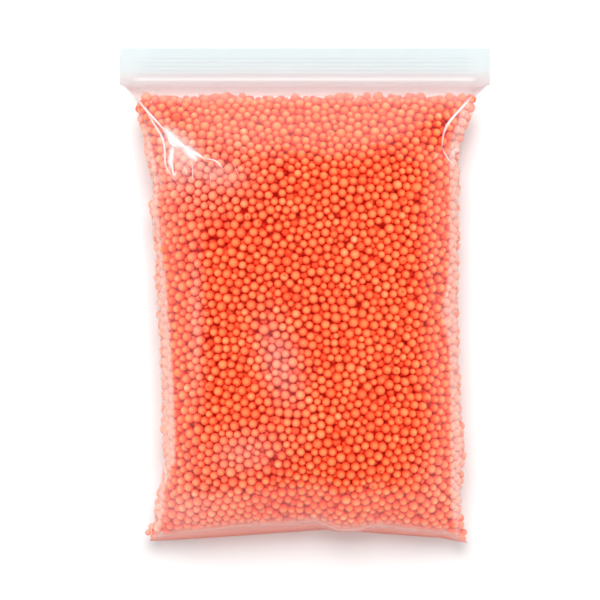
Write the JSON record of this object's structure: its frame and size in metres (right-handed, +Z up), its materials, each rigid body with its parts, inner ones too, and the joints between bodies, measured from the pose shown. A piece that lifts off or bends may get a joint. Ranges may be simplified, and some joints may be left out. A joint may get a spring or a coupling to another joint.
{
  "type": "bag of polystyrene beads",
  "caption": "Clear press-seal film bag, tightly filled with small orange expanded polystyrene beads, lying on its back.",
  "frame": {"origin": "middle of the bag's plan, on the surface that it lies on", "axes": "+Z up from the resting surface, +Y from the bottom fold to the zip, +X across the bag"},
  "size_m": [0.14, 0.188, 0.045],
  "materials": {
    "clear_film": "clear, glossy polyethylene film",
    "bead_foam": "matt foam, orange, slightly mottled from bead to bead"
  },
  "bodies": {
    "root": {"grip_seal_bag": "clear_film", "bead_fill": "bead_foam", "loose_bead_01": "bead_foam", "loose_bead_02": "bead_foam", "loose_bead_03": "bead_foam", "loose_bead_04": "bead_foam", "loose_bead_05": "bead_foam", "loose_bead_06": "bead_foam", "loose_bead_07": "bead_foam", "loose_bead_08": "bead_foam", "loose_bead_09": "bead_foam", "loose_bead_10": "bead_foam", "loose_bead_11": "bead_foam", "loose_bead_12": "bead_foam", "loose_bead_13": "bead_foam", "loose_bead_14": "bead_foam", "loose_bead_15": "bead_foam", "loose_bead_16": "bead_foam", "loose_bead_17": "bead_foam", "loose_bead_18": "bead_foam", "loose_bead_19": "bead_foam", "loose_bead_20": "bead_foam"}
  },
  "joints": []
}
